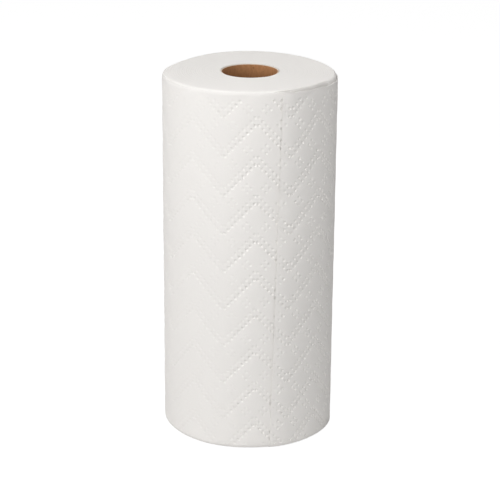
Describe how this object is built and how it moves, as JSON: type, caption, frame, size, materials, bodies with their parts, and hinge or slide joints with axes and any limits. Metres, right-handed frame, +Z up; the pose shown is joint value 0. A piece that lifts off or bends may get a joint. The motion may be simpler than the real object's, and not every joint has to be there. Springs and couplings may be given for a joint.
{
  "type": "paper towel roll",
  "caption": "Full roll of white embossed kitchen paper wound on a plain cardboard core, standing on its end.",
  "frame": {"origin": "on the roll's axis, at the lower end that it stands on", "axes": "+Z up along the roll's axis, -Y towards the side with the tail of the web, +X to the viewer's right"},
  "size_m": [0.1277, 0.1275, 0.2794],
  "materials": {
    "paper": "white embossed tissue, matt and soft",
    "cardboard": "plain brown board, spiral wound, matt"
  },
  "bodies": {
    "root": {"paper_roll": "paper", "core": "cardboard"}
  },
  "joints": []
}
